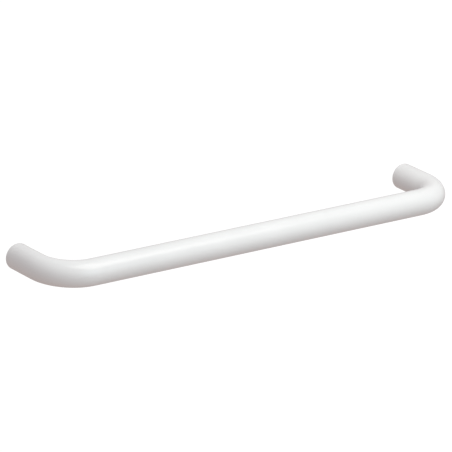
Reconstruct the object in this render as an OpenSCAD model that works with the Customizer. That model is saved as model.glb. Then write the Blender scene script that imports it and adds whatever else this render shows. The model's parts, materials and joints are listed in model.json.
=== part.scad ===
// Towel rail bent from one round tube, for fixing to a wall with nothing showing from the front.
// The wall is the plane y = 0, the rail stands out towards -Y, and +Z is up.
// The origin lies on the wall, midway between the two ends of the rail.

/* [Rail tube] */
// Outside diameter of the tube
tube_d = 33; // [31:0.5:38]
// Thickness of the wall of the tube
tube_wall = 5; // [4.5:0.25:6]
// Distance between the centre lines of the two legs
leg_centres = 600; // [300:5:1000]
// Distance from the wall to the centre line of the bar
bar_from_wall = 90; // [84:1:130]
// Radius along the inside of each bend
bend_inner_r = 30; // [20:1:36]
// Rounding of the outer edge of each end
end_edge_r = 3; // [1:0.25:3.5]

/* [End sockets] */
// Length of each socket, measured from the wall
socket_length = 32; // [26:1:36]
// How far the collar of a socket stands out past its barrel
collar_step = 1; // [0.5:0.25:1.25]
// Thickness of the collar
collar_thickness = 3; // [2:0.5:6]
// Diameter of the bore that slides over the stud on the wall
stud_bore_d = 14; // [8:0.5:16]
// Depth of that bore
stud_bore_depth = 26; // [18:1:29]
// Chamfer on the inner end of the barrel
barrel_chamfer = 1; // [0.25:0.25:2]

/* [Grub screws] */
// Outside diameter of the screw's thread
screw_d = 6; // [4:0.5:7]
// Length of the screw
screw_length = 6; // [5:0.5:8]
// Distance from the wall to the axis of the screw
screw_from_wall = 13; // [9:0.5:20]
// Chamfer round the end with the hexagon
screw_chamfer = 0.6; // [0.2:0.1:0.8]
// Diameter of the sharp rim at the tip, which bites into the stud
cup_d = 3; // [2:0.25:3.5]
// Depth of the hollow inside that rim
cup_depth = 0.85; // [0.25:0.05:1.25]
// Width across the flats of the hexagon for the key
hex_key_width = 3; // [1.5:0.5:3.5]
// Depth of the hexagon
hex_key_depth = 3; // [1.5:0.25:3.5]

/* [Clearances] */
// Gap all round between the screw's crests and its tapped hole
thread_gap = 0.05; // [0.02:0.01:0.15]
// Gap all round the screw in the hole through the tube
access_gap = 0.5; // [0.2:0.1:1]
// How far the tip of the screw stops short of the stud bore
tip_gap = 0.3; // [0.1:0.1:1]

/* [Hidden] */
$fn = 96;

LEFT = -1;
RIGHT = 1;

tube_r = tube_d / 2;
hollow_r = tube_r - tube_wall;
bend_r = bend_inner_r + tube_r;
leg_x = leg_centres / 2;
leg_length = bar_from_wall - bend_r;
bend_x = leg_x - bend_r;
collar_r = hollow_r + collar_step;
stud_bore_r = stud_bore_d / 2;
screw_r = screw_d / 2;
cup_r = cup_d / 2;
tapped_r = screw_r + thread_gap;
access_r = screw_r + access_gap;
screw_tip_r = stud_bore_r + tip_gap;
hex_corner_r = hex_key_width / 2 / cos(30);
// How far the rounding of an edge stops short of running flush into the faces beside it
edge_blend = 0.02;
// Length by which a cutting shape passes through the face that it opens
over = 1;

// Turns a shape that runs up +Z from the origin so that it runs out of the wall at one end of the rail
module at_end(side) {
    translate([side * leg_x, 0, 0]) rotate([90, 0, 0]) children();
}

// Turns a shape that runs up +Z from the origin so that it runs down from the axis of a leg at the screw
module at_screw(side) {
    translate([side * leg_x, -screw_from_wall, 0]) rotate([180, 0, 0]) children();
}

// Section of the tube, at the distance from the centre of a bend that every stretch of it keeps
module tube_section() {
    translate([bend_r, 0]) difference() {
        circle(tube_r);
        circle(hollow_r);
    }
}

// Straight stretch of tube that runs from the section's plane towards -Y
module straight(length) {
    rotate([90, 0, 0]) linear_extrude(length) tube_section();
}

// Puts a shape made round the origin at the centre of one bend, with the bend's start facing the bar
module at_bend(side) {
    translate([side * bend_x, -leg_length, 0])
        mirror([side == LEFT ? 1 : 0, 0, 0])
            rotate([0, 0, -90]) children();
}

// Bar, bends and legs, all drawn from the same section so that each stretch runs on into the next
module bent_tube() {
    at_bend(RIGHT) straight(2 * bend_x);
    for (side = [LEFT, RIGHT]) at_bend(side) {
        rotate_extrude(angle = 90) tube_section();
        rotate([0, 0, 90]) mirror([0, 1, 0]) straight(leg_length);
    }
}

// Ring that takes the sharp outer edge off an end
module edge_cutter() {
    rotate_extrude() difference() {
        translate([tube_r - end_edge_r, -over]) square(end_edge_r + over);
        translate([tube_r - end_edge_r + edge_blend, end_edge_r - edge_blend]) circle(end_edge_r);
    }
}

// The tube from end to end, open for the sockets at the wall and for the key under each leg
module rail_tube() {
    color("white") difference() {
        bent_tube();
        for (side = [LEFT, RIGHT]) {
            at_end(side) {
                edge_cutter();
                translate([0, 0, -over]) cylinder(r = collar_r, h = collar_thickness + over);
            }
            at_screw(side) cylinder(r = access_r, h = tube_r + over);
        }
    }
}

// Half section of a socket: barrel in the tube, collar in the counterbore, blind bore for the stud
module socket_section() {
    polygon([
        [stud_bore_r, 0],
        [collar_r, 0],
        [collar_r, collar_thickness],
        [hollow_r, collar_thickness],
        [hollow_r, socket_length - barrel_chamfer],
        [hollow_r - barrel_chamfer, socket_length],
        [0, socket_length],
        [0, stud_bore_depth],
        [stud_bore_r, stud_bore_depth]
    ]);
}

module end_socket(side) {
    color("silver") difference() {
        at_end(side) rotate_extrude() socket_section();
        at_screw(side) cylinder(r = tapped_r, h = hollow_r + over);
    }
}

// Half section of a grub screw, with its tip at the bottom: a hollow in a rim that is bevelled to 45 degrees
module screw_section() {
    polygon([
        [0, cup_depth],
        [cup_r, 0],
        [screw_r, screw_r - cup_r],
        [screw_r, screw_length - screw_chamfer],
        [screw_r - screw_chamfer, screw_length],
        [0, screw_length]
    ]);
}

module grub_screw(side) {
    color("gray") at_screw(side) translate([0, 0, screw_tip_r]) difference() {
        rotate_extrude() screw_section();
        translate([0, 0, screw_length - hex_key_depth])
            cylinder(r = hex_corner_r, h = hex_key_depth + over, $fn = 6);
    }
}

module left_end_socket() { end_socket(LEFT); }
module right_end_socket() { end_socket(RIGHT); }
module left_grub_screw() { grub_screw(LEFT); }
module right_grub_screw() { grub_screw(RIGHT); }

rail_tube();
left_end_socket();
right_end_socket();
left_grub_screw();
right_grub_screw();
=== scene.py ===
"""Towel rail: one white tube, bent back to the wall at both ends and held from inside its ends.

The wall is the plane y = 0, the rail stands out towards -Y, +Z is up, and lengths are metres.
"""

import json
import math

import bmesh
import bpy
from bpy.props import FloatProperty, FloatVectorProperty, IntProperty, PointerProperty
from mathutils import Matrix, Vector


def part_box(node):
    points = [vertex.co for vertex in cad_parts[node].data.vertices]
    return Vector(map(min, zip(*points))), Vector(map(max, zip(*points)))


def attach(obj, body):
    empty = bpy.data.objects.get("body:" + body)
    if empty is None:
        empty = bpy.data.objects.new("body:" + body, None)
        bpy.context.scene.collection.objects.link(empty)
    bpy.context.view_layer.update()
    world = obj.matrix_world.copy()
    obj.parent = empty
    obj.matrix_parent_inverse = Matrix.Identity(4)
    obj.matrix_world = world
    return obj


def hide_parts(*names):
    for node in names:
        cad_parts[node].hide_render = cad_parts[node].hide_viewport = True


bl_info = {
    "name": "Towel rail",
    "version": (1, 0, 0),
    "blender": (4, 5, 0),
    "location": "3D View > Sidebar > Towel Rail",
    "description": "Builds a bent white towel rail, the fixings inside its ends and a pale studio",
    "category": "Object",
}

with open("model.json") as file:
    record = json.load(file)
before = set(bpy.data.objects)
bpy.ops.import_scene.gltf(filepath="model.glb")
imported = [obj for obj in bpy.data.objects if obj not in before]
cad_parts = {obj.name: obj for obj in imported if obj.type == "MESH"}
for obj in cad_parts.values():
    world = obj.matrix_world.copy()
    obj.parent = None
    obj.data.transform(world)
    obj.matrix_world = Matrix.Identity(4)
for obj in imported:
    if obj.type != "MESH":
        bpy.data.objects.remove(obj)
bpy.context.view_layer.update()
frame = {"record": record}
MM = 0.001
SIDES = {"left": -1, "right": 1}
OVER = 1 * MM
SHARP_ANGLE = math.radians(30)
# How far the sides of a thread would rise past its crest if the crest weren't cut flat
FLAT_CREST = 1.2


# Sizes that the frame gives


def frame_size(value):
    """Rounds a size read from the frame to a hundredth of a millimetre."""
    return round(value, 5)


MOUNTS = {mount["name"]: mount for mount in frame["record"]["mounts"]}
TUBE_LOW, TUBE_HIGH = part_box("rail_tube")
SOCKET_LOW, SOCKET_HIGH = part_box("left_end_socket")
SCREW_LOW, SCREW_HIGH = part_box("left_grub_screw")
LEG_CENTRES = MOUNTS["wall_fixings"]["dims"]["spacing_x_mm"] * MM
TUBE_DIAMETER = frame_size(TUBE_HIGH.x - TUBE_LOW.x - LEG_CENTRES)
BAR_DISTANCE = frame_size(-TUBE_LOW.y - TUBE_DIAMETER / 2)
STUD_BORE_DIAMETER = 2 * MOUNTS["left_stud_bore"]["dims"]["r_mm"] * MM
COLLAR_DIAMETER = frame_size(SOCKET_HIGH.x - SOCKET_LOW.x)
SOCKET_LENGTH = frame_size(-SOCKET_LOW.y)
SCREW_DISTANCE = frame_size(-(SCREW_LOW.y + SCREW_HIGH.y) / 2)
SCREW_TIP = frame_size(-SCREW_HIGH.z)
SCREW_LENGTH = frame_size(SCREW_HIGH.z - SCREW_LOW.z)


# Settings that a user would change


def metres(name, description, default, most=1.0):
    """A length property, in metres."""
    return FloatProperty(
        name=name,
        description=description,
        default=default,
        min=0.0,
        max=most,
        subtype="DISTANCE",
        unit="LENGTH",
    )


def colour(name, description, default):
    """A colour property in linear light."""
    return FloatVectorProperty(
        name=name, description=description, default=default, size=3, min=0.0, max=1.0, subtype="COLOR"
    )


def share(name, description, default):
    """A property from nought to one."""
    return FloatProperty(
        name=name, description=description, default=default, min=0.0, max=1.0, subtype="FACTOR"
    )


def count(name, description, default, least):
    """A whole number of flats, rings or the like."""
    return IntProperty(name=name, description=description, default=default, min=least)


def angle(name, description, degrees):
    """An angle property, with its default in degrees."""
    return FloatProperty(
        name=name, description=description, default=math.radians(degrees), subtype="ANGLE", unit="ROTATION"
    )


def position(name, description, default):
    """A property for a place in the scene."""
    return FloatVectorProperty(
        name=name, description=description, default=default, subtype="TRANSLATION", unit="LENGTH"
    )


def watts(name, description, default):
    """A light's power."""
    return FloatProperty(name=name, description=description, default=default, min=0.0, unit="POWER")


class TubeSettings(bpy.types.PropertyGroup):
    """Sizes and finish of the bent tube."""

    diameter: metres("Diameter", "Outside diameter of the tube", TUBE_DIAMETER)
    wall: metres("Wall", "Thickness of the tube's wall", 5 * MM)
    leg_centres: metres("Leg centres", "Distance between the centre lines of the legs", LEG_CENTRES, 3.0)
    bar_distance: metres("Bar distance", "From the wall to the centre line of the bar", BAR_DISTANCE)
    bend_inner_radius: metres("Bend radius", "Radius along the inside of each bend", 30 * MM)
    end_rounding: metres("End rounding", "Rounding of the outer edge of each end", 3 * MM)
    recess_diameter: metres("Recess diameter", "Recess at each end that takes a collar", COLLAR_DIAMETER)
    recess_depth: metres("Recess depth", "Depth of that recess", 3 * MM)
    recess_bevel: metres("Recess bevel", "Bevel round the mouth of that recess", 0.2 * MM)
    key_hole_diameter: metres("Key hole diameter", "Hole under each leg for the key", 7 * MM)
    key_hole_distance: metres("Key hole distance", "From the wall to the axis of that hole", SCREW_DISTANCE)
    key_hole_bevel: metres("Key hole bevel", "Bevel round the outside of that hole", 0.7 * MM)
    sides: count("Sides", "Flats round the tube", 192, 12)
    rounding_steps: count("Rounding steps", "Rings in each rounded end", 12, 2)
    bend_steps: count("Bend steps", "Rings in each bend", 64, 4)
    white: colour("White", "Colour of the moulded gloss surface", (0.885, 0.88, 0.87))
    roughness: share("Roughness", "Roughness of that surface", 0.24)
    cloud_size: metres("Cloud size", "Width of the faint clouds in the white", 60 * MM)
    gloss_size: metres("Gloss size", "Width of the patches where the gloss varies", 6 * MM)
    ripple_size: metres("Ripple size", "Width of the soft ripples in that surface", 5 * MM)
    ripple: metres("Ripple", "Height of those ripples", 0.012 * MM)


class SocketSettings(bpy.types.PropertyGroup):
    """Sizes and finish of the sockets pressed into the tube's ends."""

    collar_diameter: metres("Collar diameter", "Collar that stops the socket at the wall", COLLAR_DIAMETER)
    collar_thickness: metres("Collar thickness", "Thickness of the collar", 3 * MM)
    depth: metres("Depth", "Length of the socket from the wall", SOCKET_LENGTH)
    bore_diameter: metres("Bore diameter", "Bore that slides over the stud", STUD_BORE_DIAMETER)
    bore_depth: metres("Bore depth", "Depth of that bore", 26 * MM)
    mouth_chamfer: metres("Mouth chamfer", "Chamfer that leads the stud in", 0.75 * MM)
    barrel_chamfer: metres("Barrel chamfer", "Chamfer on the socket's inner end", 1 * MM)
    edge_bevel: metres("Edge bevel", "Bevel on the turned edges", 0.15 * MM)
    tapped_diameter: metres("Tapped diameter", "Hole for the grub screw", 6.1 * MM)
    sides: count("Sides", "Flats round the socket", 160, 12)
    metal: colour("Metal", "Colour of the turned metal", (0.78, 0.78, 0.79))
    roughness: share("Roughness", "Roughness of the turned metal", 0.3)
    cloud_size: metres("Cloud size", "Width of the duller clouds in the metal", 4 * MM)
    groove_spacing: metres("Groove spacing", "Distance between the marks of the turning tool", 0.18 * MM)
    groove_depth: metres("Groove depth", "Depth of those marks", 0.003 * MM)


class ScrewSettings(bpy.types.PropertyGroup):
    """Sizes and finish of the grub screws."""

    diameter: metres("Diameter", "Outside diameter of the thread", 6 * MM)
    screw_length: metres("Length", "Length of the screw", SCREW_LENGTH)
    pitch: metres("Pitch", "Rise of the thread in one turn", 1 * MM)
    thread_depth: metres("Thread depth", "Depth of the thread", 0.55 * MM)
    cup_diameter: metres("Cup diameter", "Sharp rim that bites into the stud", 3 * MM)
    cup_depth: metres("Cup depth", "Depth of the hollow in that rim", 0.85 * MM)
    end_chamfer: metres("End chamfer", "Chamfer round the end with the hexagon", 0.6 * MM)
    hexagon: metres("Hexagon", "Width across the flats for the key", 3 * MM)
    hexagon_depth: metres("Hexagon depth", "Depth of the hexagon", 3 * MM)
    sides: count("Sides", "Flats round the thread", 96, 12)
    rings: count("Rings", "Rings along the thread", 96, 12)
    steel: colour("Steel", "Colour of the bright steel", (0.52, 0.53, 0.55))
    roughness: share("Roughness", "Roughness of the steel", 0.32)
    grain_size: metres("Grain size", "Width of the grain in the steel", 1.2 * MM)
    grain_depth: metres("Grain depth", "Depth of that grain", 0.006 * MM)


class StageSettings(bpy.types.PropertyGroup):
    """Camera, floor and light."""

    camera_place: position("Camera place", "Where the camera stands", (-3.2106, -3.9947, 1.8342))
    heading: angle("Heading", "How far the camera looks from +Y towards +X", 38.95)
    dip: angle("Dip", "How far the camera looks down", 19.837)
    roll: angle("Roll", "How far the camera is rolled to the left", 3.448)
    lens: FloatProperty(name="Lens", description="Focal length", default=351.67, unit="CAMERA")
    key_place: position("Key place", "Middle of the soft light over the rail", (0.3, -0.6, 1.4))
    key_power: watts("Key power", "Power of that light", 12.3)
    key_colour: colour("Key colour", "Colour of that light", (1.0, 0.98, 0.94))
    front_place: position("Front place", "Middle of the soft light in front of the rail", (0.2, -1.6, 0.5))
    front_power: watts("Front power", "Power of that light", 5.3)
    front_colour: colour("Front colour", "Colour of that light", (0.7, 0.94, 1.0))
    light_size: metres("Light size", "Length of each side of both lights", 1.2, 5.0)
    upper_fill: colour("Upper fill", "Even light from above", (0.575, 0.59, 0.615))
    lower_fill: colour("Lower fill", "Even light from below", (0.44, 0.36, 0.34))
    floor_drop: metres("Floor drop", "From the rail down to the floor, so that no view is blocked", 8.0, 50.0)
    floor_size: metres("Floor size", "Length of each side of the floor", 40.0, 100.0)
    pale: colour("Pale", "Colour of the floor and the backdrop", (1.0, 1.0, 1.0))
    pale_strength: FloatProperty(name="Pale strength", description="Their brightness", default=1.05, min=0.0)


# Helpers for node trees


class Number:
    """A number inside a node tree, which plain arithmetic turns into math nodes."""

    def __init__(self, socket):
        self.socket = socket
        self.tree = socket.id_data

    @classmethod
    def of(cls, tree, value):
        """A plain number, put into the tree."""
        node = add_node(tree, "ShaderNodeValue")
        node.outputs[0].default_value = value
        return cls(node.outputs[0])

    def calculate(self, operation, *others):
        """The result of a math node that takes this number first."""
        inputs = dict(enumerate((self, *others)))
        return Number(add_node(self.tree, "ShaderNodeMath", inputs, operation=operation).outputs[0])

    def __add__(self, other):
        return self.calculate("ADD", other)

    def __sub__(self, other):
        return self.calculate("SUBTRACT", other)

    def __rsub__(self, other):
        return Number.of(self.tree, other) - self

    def __mul__(self, other):
        return self.calculate("MULTIPLY", other)

    def __truediv__(self, other):
        return self.calculate("DIVIDE", other)

    def __neg__(self):
        return self * -1.0

    def __gt__(self, other):
        return self.calculate("GREATER_THAN", other)


def add_node(tree, kind, inputs=None, **settings):
    """Adds a node, and gives its inputs values or links them to what other nodes put out."""
    node = tree.nodes.new(kind)
    for setting, value in settings.items():
        setattr(node, setting, value)
    for key, value in (inputs or {}).items():
        for source in value if isinstance(value, list) else [value]:
            if isinstance(source, Number):
                source = source.socket
            if isinstance(source, bpy.types.NodeSocket):
                tree.links.new(source, node.inputs[key])
            else:
                node.inputs[key].default_value = source
    return node


def result(tree, kind, inputs=None, **settings):
    """Adds a node, and returns its first output."""
    return add_node(tree, kind, inputs, **settings).outputs[0]


def number(tree, kind, inputs=None, output=0, **settings):
    """Adds a node, and returns one of its outputs as a number."""
    return Number(add_node(tree, kind, inputs, **settings).outputs[output])


def start_geometry_tree(name, inputs):
    """Starts a geometry node tree, and returns it with its inputs by name."""
    tree = bpy.data.node_groups.new(name, "GeometryNodeTree")
    tree.is_modifier = True
    for label, kind in inputs.items():
        tree.interface.new_socket(label, in_out="INPUT", socket_type="NodeSocket" + kind)
    tree.interface.new_socket("Geometry", in_out="OUTPUT", socket_type="NodeSocketGeometry")
    sockets = add_node(tree, "NodeGroupInput").outputs
    given = {}
    for label, kind in inputs.items():
        is_number = kind in ("Float", "Int")
        given[label] = Number(sockets[label]) if is_number else sockets[label]
    return tree, given


def end_geometry_tree(tree, geometry, material, sharp_angle=SHARP_ANGLE):
    """Shades the result smooth between its sharp edges, and gives it its material."""
    smooth = result(tree, "GeometryNodeSetShadeSmooth", {"Geometry": geometry, "Shade Smooth": True})
    edge_angle = number(tree, "GeometryNodeInputMeshEdgeAngle")
    sharp = {"Geometry": smooth, "Selection": edge_angle > sharp_angle, "Shade Smooth": False}
    edged = result(tree, "GeometryNodeSetShadeSmooth", sharp, domain="EDGE")
    real = result(tree, "GeometryNodeRealizeInstances", {"Geometry": edged})
    finished = result(tree, "GeometryNodeSetMaterial", {"Geometry": real, "Material": material})
    add_node(tree, "NodeGroupOutput", {"Geometry": finished})


def place_object(name, mesh):
    """Puts a mesh in the scene as an object at the origin."""
    piece = bpy.data.objects.new(name, mesh)
    bpy.context.scene.collection.objects.link(piece)
    return piece


def fix_modifiers(piece):
    """Turns what the piece's modifiers give into its plain mesh, and takes them away."""
    mesh = bpy.data.meshes.new_from_object(piece.evaluated_get(bpy.context.evaluated_depsgraph_get()))
    piece.modifiers.clear()
    piece.data = mesh
    if not mesh.polygons:
        raise RuntimeError(f"{piece.name} came out empty")
    return piece


def run_geometry_tree(name, tree, values):
    """Makes an object whose mesh is what the tree gives for these values."""
    piece = place_object(name, bpy.data.meshes.new(name))
    modifier = piece.modifiers.new(tree.name, "NODES")
    modifier.node_group = tree
    for item in tree.interface.items_tree:
        if item.in_out == "INPUT":
            modifier[item.identifier] = values[item.name]
    return fix_modifiers(piece)


def stand_for(piece, node):
    """Rides the piece on the rail, in place of a CAD node, which it hides."""
    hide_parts(node)
    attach(piece, "root")


# Helpers for materials


def start_material(name, metallic=0.0):
    """Starts a material, and returns it with its tree and its main shader."""
    material = bpy.data.materials.new(name)
    material.use_nodes = True
    tree = material.node_tree
    tree.nodes.clear()
    shader = add_node(tree, "ShaderNodeBsdfPrincipled", {"Metallic": metallic})
    add_node(tree, "ShaderNodeOutputMaterial", {"Surface": shader.outputs[0]})
    return material, tree, shader


def object_place(tree, centre=(0, 0, 0)):
    """The place on the object, measured from a centre."""
    place = add_node(tree, "ShaderNodeTexCoord").outputs["Object"]
    return result(tree, "ShaderNodeMapping", {"Vector": place, "Location": centre}, vector_type="TEXTURE")


def noise(tree, place, size, detail=2.0):
    """Noise whose patches are about as wide as size."""
    return result(tree, "ShaderNodeTexNoise", {"Vector": place, "Scale": 1 / size, "Detail": detail})


def spread(tree, value, low, high):
    """Spreads the middle of a noise over a range."""
    ends = {"Value": value, "From Min": 0.3, "From Max": 0.7, "To Min": low, "To Max": high}
    return result(tree, "ShaderNodeMapRange", ends)


def finish_shader(tree, shader, base, shade, roughness, height, distance):
    """Gives the shader a shaded base colour, a roughness and a bump."""
    colour_node = add_node(tree, "ShaderNodeVectorMath", {0: tuple(base), "Scale": shade}, operation="SCALE")
    bump = result(tree, "ShaderNodeBump", {"Height": height, "Distance": distance, "Strength": 1.0})
    tree.links.new(colour_node.outputs[0], shader.inputs["Base Color"])
    tree.links.new(roughness, shader.inputs["Roughness"])
    tree.links.new(bump, shader.inputs["Normal"])


# Materials


def white_gloss(tube):
    """Smooth moulded white with a soft ripple and a trace of unevenness in its colour and gloss."""
    material, tree, shader = start_material("white_gloss")
    place = object_place(tree)
    shade = spread(tree, noise(tree, place, tube.cloud_size), 0.985, 1.01)
    patches = noise(tree, place, tube.gloss_size, detail=4.0)
    rough = spread(tree, patches, tube.roughness - 0.03, tube.roughness + 0.03)
    ripples = noise(tree, place, tube.ripple_size)
    finish_shader(tree, shader, tube.white, shade, rough, ripples, tube.ripple)
    return material


def turned_metal(socket, side):
    """Bright metal with the rings that a turning tool leaves round the axis of the bore."""
    material, tree, shader = start_material(f"{side}_turned_metal", metallic=1.0)
    place = object_place(tree, (SIDES[side] * LEG_CENTRES / 2, 0, 0))
    parts = add_node(tree, "ShaderNodeSeparateXYZ", {0: place}).outputs
    x, y, z = (Number(parts[axis]) for axis in "XYZ")
    radius = (x * x + z * z).calculate("SQRT")
    rings = ((radius + y) * (math.tau / socket.groove_spacing)).calculate("SINE")
    cloud = noise(tree, place, socket.cloud_size, detail=4.0)
    shade = spread(tree, cloud, 0.94, 1.03)
    rough = spread(tree, cloud, socket.roughness - 0.06, socket.roughness + 0.08)
    finish_shader(tree, shader, socket.metal, shade, rough, rings.socket, socket.groove_depth)
    return material


def bright_steel(screw):
    """Plain cut steel, lightly oiled."""
    material, tree, shader = start_material("bright_steel", metallic=1.0)
    grain = noise(tree, object_place(tree), screw.grain_size, detail=4.0)
    shade = spread(tree, grain, 0.85, 1.08)
    rough = spread(tree, grain, screw.roughness - 0.08, screw.roughness + 0.12)
    finish_shader(tree, shader, screw.steel, shade, rough, grain, screw.grain_depth)
    return material


# The bent tube


def centre_line(tree, given, rings, ring_depth):
    """The tube's centre line from end to end, with rings near each end and both corners rounded."""
    index = number(tree, "GeometryNodeInputIndex")
    from_right = rings * 2.0 + 1.0 - index
    ring = index.calculate("MINIMUM", from_right)
    corner = ring > rings - 0.5
    across = given["Leg Centres"] * ((index > from_right) - 0.5)
    depth = corner * given["Bar Distance"] + (1.0 - corner) * ring_depth(ring)
    place = result(tree, "ShaderNodeCombineXYZ", {"X": across, "Y": -depth})
    points = result(tree, "GeometryNodePoints", {"Count": rings * 2.0 + 2.0, "Position": place})
    line = result(tree, "GeometryNodePointsToCurves", {"Points": points, "Weight": index})
    bend_radius = given["Bend Inner Radius"] + given["Diameter"] / 2.0
    fillet = {
        "Curve": line,
        "Count": given["Bend Steps"],
        "Radius": corner * bend_radius,
        "Limit Radius": True,
    }
    return result(tree, "GeometryNodeFilletCurve", fillet, mode="POLY")


def sweep(tree, given, path, radius, scale=1.0):
    """A closed round bar along a path."""
    section = {"Resolution": given["Sides"], "Radius": radius}
    circle = result(tree, "GeometryNodeCurvePrimitiveCircle", section)
    inputs = {"Curve": path, "Profile Curve": circle, "Scale": scale, "Fill Caps": True}
    return result(tree, "GeometryNodeCurveToMesh", inputs)


def outer_bar(tree, given):
    """The tube as a solid bar whose ends are rounded towards the wall."""
    rounding = given["End Rounding"]
    steps = given["Rounding Steps"]
    quarter = math.pi / 2

    def ring_depth(ring):
        return rounding * (1.0 - (ring / steps * quarter).calculate("COSINE"))

    path = centre_line(tree, given, steps + 1.0, ring_depth)
    place = result(tree, "GeometryNodeInputPosition")
    depth = -number(tree, "ShaderNodeSeparateXYZ", {0: place}, output=1)
    short = 1.0 - (depth / rounding).calculate("MINIMUM", 1.0)
    gone = rounding * (1.0 - (1.0 - short * short).calculate("SQRT"))
    radius = given["Diameter"] / 2.0
    return sweep(tree, given, path, radius, 1.0 - gone / radius)


def cylinder(tree, given, radius, low, high, flare=0.0):
    """A closed cylinder up the Z axis from low to high, where its radius is wider by the flare."""
    shape = {
        "Vertices": given["Sides"],
        "Radius Bottom": radius,
        "Radius Top": radius + flare,
        "Depth": high - low,
    }
    body = result(tree, "GeometryNodeMeshCone", shape)
    lift = result(tree, "ShaderNodeCombineXYZ", {"Z": low})
    return result(tree, "GeometryNodeTransform", {"Geometry": body, "Translation": lift})


def at_both_ends(tree, given, shapes, rotation, away=0.0):
    """Turns shapes from the Z axis onto the axis of each leg, some way out from the wall."""
    joined = result(tree, "GeometryNodeJoinGeometry", {"Geometry": shapes})
    copies = []
    for side in SIDES.values():
        place = result(tree, "ShaderNodeCombineXYZ", {"X": given["Leg Centres"] * (side / 2), "Y": away})
        moved = {"Geometry": joined, "Translation": place, "Rotation": rotation}
        copies.append(result(tree, "GeometryNodeTransform", moved))
    return copies


def bent_tube_tree():
    """Solid bent bar, less its hollow, the recess in each end and the hole for the key under each leg."""
    lengths = [
        "Diameter", "Wall", "Leg Centres", "Bar Distance", "Bend Inner Radius", "End Rounding",
        "Recess Diameter", "Recess Depth", "Recess Bevel",
        "Key Hole Diameter", "Key Hole Distance", "Key Hole Bevel",
    ]
    inputs = dict.fromkeys(lengths, "Float") | dict.fromkeys(["Sides", "Rounding Steps", "Bend Steps"], "Int")
    tree, given = start_geometry_tree("Bent tube", inputs | {"Material": "Material"})
    radius = given["Diameter"] / 2.0
    hollow_path = centre_line(tree, given, Number.of(tree, 1.0), lambda ring: given["Recess Depth"] / 2.0)
    hollow = sweep(tree, given, hollow_path, radius - given["Wall"])
    recess_r = given["Recess Diameter"] / 2.0
    bevel = given["Recess Bevel"]
    recess = cylinder(tree, given, recess_r, -given["Recess Depth"], Number.of(tree, OVER))
    mouth = cylinder(tree, given, recess_r, -bevel, bevel, bevel * 2.0)
    hole_r = given["Key Hole Diameter"] / 2.0
    hole_bevel = given["Key Hole Bevel"]
    hole = cylinder(tree, given, hole_r, Number.of(tree, 0.0), radius + OVER)
    hole_mouth = cylinder(tree, given, hole_r, radius - hole_bevel, radius + hole_bevel, hole_bevel * 2.0)
    towards_wall = (-math.pi / 2, 0, 0)
    downwards = (math.pi, 0, 0)
    cutters = [hollow]
    for shape in (recess, mouth):
        cutters += at_both_ends(tree, given, shape, towards_wall)
    for shape in (hole, hole_mouth):
        cutters += at_both_ends(tree, given, shape, downwards, -given["Key Hole Distance"])
    cut = {"Mesh 1": outer_bar(tree, given), "Mesh 2": cutters}
    tube = result(tree, "GeometryNodeMeshBoolean", cut, operation="DIFFERENCE", solver="MANIFOLD")
    end_geometry_tree(tree, tube, given["Material"])
    return tree


class RAIL_OT_bent_tube(bpy.types.Operator):
    """Make the white tube from wall to wall"""

    bl_idname = "towel_rail.bent_tube"
    bl_label = "Bent Tube"

    def execute(self, context):
        tube = context.scene.rail_tube
        values = {
            "Diameter": tube.diameter,
            "Wall": tube.wall,
            "Leg Centres": tube.leg_centres,
            "Bar Distance": tube.bar_distance,
            "Bend Inner Radius": tube.bend_inner_radius,
            "End Rounding": tube.end_rounding,
            "Recess Diameter": tube.recess_diameter,
            "Recess Depth": tube.recess_depth,
            "Recess Bevel": tube.recess_bevel,
            "Key Hole Diameter": tube.key_hole_diameter,
            "Key Hole Distance": tube.key_hole_distance,
            "Key Hole Bevel": tube.key_hole_bevel,
            "Sides": tube.sides,
            "Rounding Steps": tube.rounding_steps,
            "Bend Steps": tube.bend_steps,
            "Material": white_gloss(tube),
        }
        piece = run_geometry_tree("white_tube", bent_tube_tree(), values)
        stand_for(piece, "rail_tube")
        return {"FINISHED"}


# The end sockets


def turned_solid(name, profile, centre_x, sides):
    """A closed solid turned about the axis of a leg, from points of radius and depth from the wall."""
    shape = bmesh.new()
    rings = []
    for radius, depth in profile:
        turns = range(sides) if radius else range(1)
        angles = [math.tau * turn / sides for turn in turns]
        places = [(centre_x + radius * math.cos(a), -depth, radius * math.sin(a)) for a in angles]
        rings.append([shape.verts.new(place) for place in places])
    for inner, outer in zip(rings, rings[1:]):
        for turn in range(sides):
            corners = [
                ring[(turn + step) % len(ring)]
                for ring, step in ((inner, 0), (inner, 1), (outer, 1), (outer, 0))
            ]
            shape.faces.new(list(dict.fromkeys(corners)))
    bmesh.ops.recalc_face_normals(shape, faces=shape.faces)
    mesh = bpy.data.meshes.new(name)
    shape.to_mesh(mesh)
    shape.free()
    return place_object(name, mesh)


def drill_from_below(piece, centre_x, distance, diameter, depth, sides):
    """Drills a hole up to the axis of a leg from below."""
    shape = bmesh.new()
    place = Matrix.Translation((centre_x, -distance, -depth / 2))
    radius = diameter / 2
    bmesh.ops.create_cone(
        shape, cap_ends=True, segments=sides, radius1=radius, radius2=radius, depth=depth, matrix=place
    )
    mesh = bpy.data.meshes.new("drill")
    shape.to_mesh(mesh)
    shape.free()
    drill = place_object("drill", mesh)
    cut = piece.modifiers.new("Drilled hole", "BOOLEAN")
    cut.operation = "DIFFERENCE"
    cut.solver = "MANIFOLD"
    cut.object = drill
    fix_modifiers(piece)
    bpy.data.objects.remove(drill)


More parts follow.
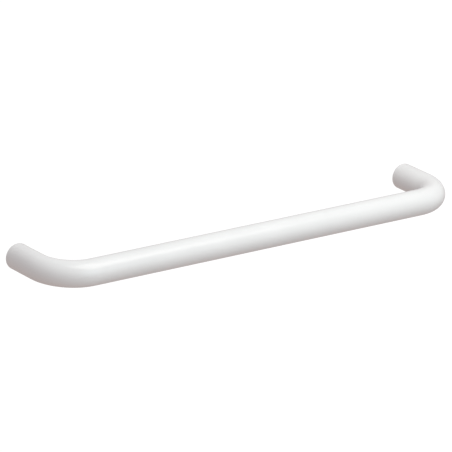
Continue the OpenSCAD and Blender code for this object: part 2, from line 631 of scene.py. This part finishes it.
def socket_profile(socket, barrel_r):
    """Half section of a socket as points of radius and depth, from its bore round to its inner end."""
    bore_r = socket.bore_diameter / 2
    collar_r = socket.collar_diameter / 2
    bevel = socket.edge_bevel
    return [
        (0, socket.bore_depth),
        (bore_r, socket.bore_depth),
        (bore_r, socket.mouth_chamfer),
        (bore_r + socket.mouth_chamfer, 0),
        (collar_r - bevel, 0),
        (collar_r, bevel),
        (collar_r, socket.collar_thickness),
        (barrel_r, socket.collar_thickness),
        (barrel_r, socket.depth - socket.barrel_chamfer),
        (barrel_r - socket.barrel_chamfer, socket.depth),
        (0, socket.depth),
    ]


class RAIL_OT_end_sockets(bpy.types.Operator):
    """Make the metal socket inside each end"""

    bl_idname = "towel_rail.end_sockets"
    bl_label = "End Sockets"

    def execute(self, context):
        tube = context.scene.rail_tube
        socket = context.scene.rail_socket
        barrel_r = tube.diameter / 2 - tube.wall
        for name, side in SIDES.items():
            centre_x = side * tube.leg_centres / 2
            piece = turned_solid(f"{name}_socket", socket_profile(socket, barrel_r), centre_x, socket.sides)
            drill_from_below(
                piece, centre_x, tube.key_hole_distance, socket.tapped_diameter, barrel_r + OVER, socket.sides
            )
            piece.data.shade_smooth()
            piece.data.set_sharp_from_angle(angle=SHARP_ANGLE)
            piece.data.materials.append(turned_metal(socket, name))
            stand_for(piece, f"{name}_end_socket")
        return {"FINISHED"}


# The grub screws


def grub_screw_tree():
    """A threaded cylinder with a cup at its tip and a hexagon in its other end, tip up."""
    lengths = [
        "Diameter", "Length", "Pitch", "Thread Depth", "Cup Diameter", "Cup Depth", "End Chamfer",
        "Hexagon", "Hexagon Depth",
    ]
    inputs = dict.fromkeys(lengths, "Float") | dict.fromkeys(["Sides", "Rings"], "Int")
    tree, given = start_geometry_tree("Grub screw", inputs | {"Place": "Vector", "Material": "Material"})
    radius = given["Diameter"] / 2.0
    blank = {
        "Vertices": given["Sides"],
        "Side Segments": given["Rings"],
        "Radius": radius,
        "Depth": given["Length"],
    }
    cylinder_mesh = result(tree, "GeometryNodeMeshCylinder", blank)
    place = result(tree, "GeometryNodeInputPosition")
    parts = add_node(tree, "ShaderNodeSeparateXYZ", {0: place}).outputs
    x, y, z = (Number(parts[axis]) for axis in "XYZ")
    height = z + given["Length"] / 2.0
    turn = y.calculate("ARCTAN2", x) / math.tau
    ridge = (height / given["Pitch"] - turn).calculate("PINGPONG", 0.5) * 2.0
    crest = (ridge * FLAT_CREST).calculate("MINIMUM", 1.0)
    thread_r = radius - given["Thread Depth"] * (1.0 - crest)
    tip_r = given["Cup Diameter"] / 2.0 + height
    end_r = radius - given["End Chamfer"] + (given["Length"] - height)
    cut_r = thread_r.calculate("MINIMUM", tip_r).calculate("MINIMUM", end_r)
    scale = cut_r / radius
    wide = result(tree, "ShaderNodeCombineXYZ", {"X": x * scale, "Y": y * scale, "Z": z})
    threaded = result(tree, "GeometryNodeSetPosition", {"Geometry": cylinder_mesh, "Position": wide})
    half = given["Length"] / 2.0
    key = {
        "Vertices": 6,
        "Radius": given["Hexagon"] / (2 * math.cos(math.pi / 6)),
        "Depth": given["Hexagon Depth"] * 2.0,
    }
    key_body = result(tree, "GeometryNodeMeshCylinder", key)
    key_place = result(tree, "ShaderNodeCombineXYZ", {"Z": half})
    hexagon = result(tree, "GeometryNodeTransform", {"Geometry": key_body, "Translation": key_place})
    cup_r = given["Cup Diameter"] / 2.0
    cup_cone = {
        "Vertices": given["Sides"],
        "Radius Top": 0.0,
        "Radius Bottom": cup_r * 2.0,
        "Depth": given["Cup Depth"] * 2.0,
    }
    cup_body = result(tree, "GeometryNodeMeshCone", cup_cone)
    cup_place = result(tree, "ShaderNodeCombineXYZ", {"Z": -half - given["Cup Depth"]})
    cup = result(tree, "GeometryNodeTransform", {"Geometry": cup_body, "Translation": cup_place})
    cut = {"Mesh 1": threaded, "Mesh 2": [hexagon, cup]}
    screw = result(tree, "GeometryNodeMeshBoolean", cut, operation="DIFFERENCE", solver="MANIFOLD")
    turned = {"Geometry": screw, "Translation": given["Place"], "Rotation": (math.pi, 0, 0)}
    end_geometry_tree(tree, result(tree, "GeometryNodeTransform", turned), given["Material"])
    return tree


class RAIL_OT_grub_screws(bpy.types.Operator):
    """Make the grub screw under each leg"""

    bl_idname = "towel_rail.grub_screws"
    bl_label = "Grub Screws"

    def execute(self, context):
        tube = context.scene.rail_tube
        screw = context.scene.rail_screw
        tree = grub_screw_tree()
        values = {
            "Diameter": screw.diameter,
            "Length": screw.screw_length,
            "Pitch": screw.pitch,
            "Thread Depth": screw.thread_depth,
            "Cup Diameter": screw.cup_diameter,
            "Cup Depth": screw.cup_depth,
            "End Chamfer": screw.end_chamfer,
            "Hexagon": screw.hexagon,
            "Hexagon Depth": screw.hexagon_depth,
            "Sides": screw.sides,
            "Rings": screw.rings,
            "Material": bright_steel(screw),
        }
        for name, side in SIDES.items():
            middle = SCREW_TIP + screw.screw_length / 2
            values["Place"] = (side * tube.leg_centres / 2, -tube.key_hole_distance, -middle)
            piece = run_geometry_tree(f"{name}_screw", tree, values)
            stand_for(piece, f"{name}_grub_screw")
        return {"FINISHED"}


# The stage


def make_camera(stage):
    """Sets the camera up at the photograph's viewing angle."""
    camera = bpy.data.objects.new("camera", bpy.data.cameras.new("camera"))
    camera.data.lens = stage.lens
    camera.data.clip_end = 100.0
    turns = (
        Matrix.Rotation(-stage.heading, 4, "Z")
        @ Matrix.Rotation(math.pi / 2 - stage.dip, 4, "X")
        @ Matrix.Rotation(stage.roll, 4, "Z")
    )
    camera.matrix_world = Matrix.Translation(stage.camera_place) @ turns
    bpy.context.scene.collection.objects.link(camera)
    bpy.context.scene.camera = camera


def floor_material(stage):
    """Plain, pale and even."""
    material = bpy.data.materials.new("pale_floor")
    material.use_nodes = True
    tree = material.node_tree
    tree.nodes.clear()
    glow = {"Color": (*stage.pale, 1.0), "Strength": stage.pale_strength}
    pale = result(tree, "ShaderNodeEmission", glow)
    add_node(tree, "ShaderNodeOutputMaterial", {"Surface": pale})
    return material


def make_floor(stage):
    """Lays the floor well below the rail."""
    shape = bmesh.new()
    bmesh.ops.create_grid(
        shape, size=stage.floor_size / 2, matrix=Matrix.Translation((0, 0, -stage.floor_drop))
    )
    mesh = bpy.data.meshes.new("floor")
    shape.to_mesh(mesh)
    shape.free()
    mesh.materials.append(floor_material(stage))
    floor = place_object("floor", mesh)
    floor.visible_diffuse = False
    floor.visible_glossy = False
    floor.visible_shadow = False


def make_soft_light(name, place, size, power, tint):
    """Hangs a square soft light that faces the origin."""
    light = bpy.data.lights.new(name, "AREA")
    light.shape = "SQUARE"
    light.size = size
    light.energy = power
    light.color = tint
    lamp = bpy.data.objects.new(name, light)
    lamp.location = place
    lamp.rotation_euler = Vector(place).to_track_quat("Z", "Y").to_euler()
    lamp.visible_camera = False
    bpy.context.scene.collection.objects.link(lamp)


def make_world(stage):
    """Fills the studio with even light, cool from above and warm from below, and shows a plain backdrop."""
    world = bpy.data.worlds.new("studio")
    world.use_nodes = True
    tree = world.node_tree
    tree.nodes.clear()
    bpy.context.scene.world = world
    direction = add_node(tree, "ShaderNodeTexCoord").outputs["Generated"]
    parts = add_node(tree, "ShaderNodeSeparateXYZ", {0: direction}).outputs
    upward = Number(parts["Z"]) * 0.5 + 0.5
    upper = result(tree, "ShaderNodeBackground", {"Color": (*stage.upper_fill, 1.0)})
    lower = result(tree, "ShaderNodeBackground", {"Color": (*stage.lower_fill, 1.0)})
    soft = result(tree, "ShaderNodeMixShader", {0: upward, 1: lower, 2: upper})
    glow = {"Color": (*stage.pale, 1.0), "Strength": stage.pale_strength}
    plain = result(tree, "ShaderNodeBackground", glow)
    seen = add_node(tree, "ShaderNodeLightPath").outputs["Is Camera Ray"]
    mixed = result(tree, "ShaderNodeMixShader", {0: seen, 1: soft, 2: plain})
    add_node(tree, "ShaderNodeOutputWorld", {"Surface": mixed})


class RAIL_OT_stage(bpy.types.Operator):
    """Make the camera, the pale floor and the soft light"""

    bl_idname = "towel_rail.stage"
    bl_label = "Stage"

    def execute(self, context):
        stage = context.scene.rail_stage
        context.scene.view_settings.view_transform = "Standard"
        make_camera(stage)
        make_floor(stage)
        for name, place, power, tint in (
            ("key_light", stage.key_place, stage.key_power, stage.key_colour),
            ("front_light", stage.front_place, stage.front_power, stage.front_colour),
        ):
            make_soft_light(name, place, stage.light_size, power, tint)
        make_world(stage)
        return {"FINISHED"}


class RAIL_PT_panel(bpy.types.Panel):
    """Lists what the towel rail is made of"""

    bl_idname = "RAIL_PT_panel"
    bl_label = "Towel Rail"
    bl_space_type = "VIEW_3D"
    bl_region_type = "UI"
    bl_category = "Towel Rail"

    def draw(self, context):
        for operator in OPERATORS:
            self.layout.operator(operator.bl_idname)


# Registration

SETTINGS = {
    "rail_tube": TubeSettings,
    "rail_socket": SocketSettings,
    "rail_screw": ScrewSettings,
    "rail_stage": StageSettings,
}
OPERATORS = (RAIL_OT_bent_tube, RAIL_OT_end_sockets, RAIL_OT_grub_screws, RAIL_OT_stage)
CLASSES = (*SETTINGS.values(), *OPERATORS, RAIL_PT_panel)


def register():
    """Registers the classes and hangs their settings on the scene."""
    for cls in CLASSES:
        bpy.utils.register_class(cls)
    for name, settings in SETTINGS.items():
        setattr(bpy.types.Scene, name, PointerProperty(type=settings))


def unregister():
    """Takes the settings and the classes away again."""
    for name in SETTINGS:
        delattr(bpy.types.Scene, name)
    for cls in reversed(CLASSES):
        bpy.utils.unregister_class(cls)


def main():
    register()
    bpy.ops.towel_rail.bent_tube()
    bpy.ops.towel_rail.end_sockets()
    bpy.ops.towel_rail.grub_screws()
    bpy.ops.towel_rail.stage()


if __name__ == "__main__":
    main()
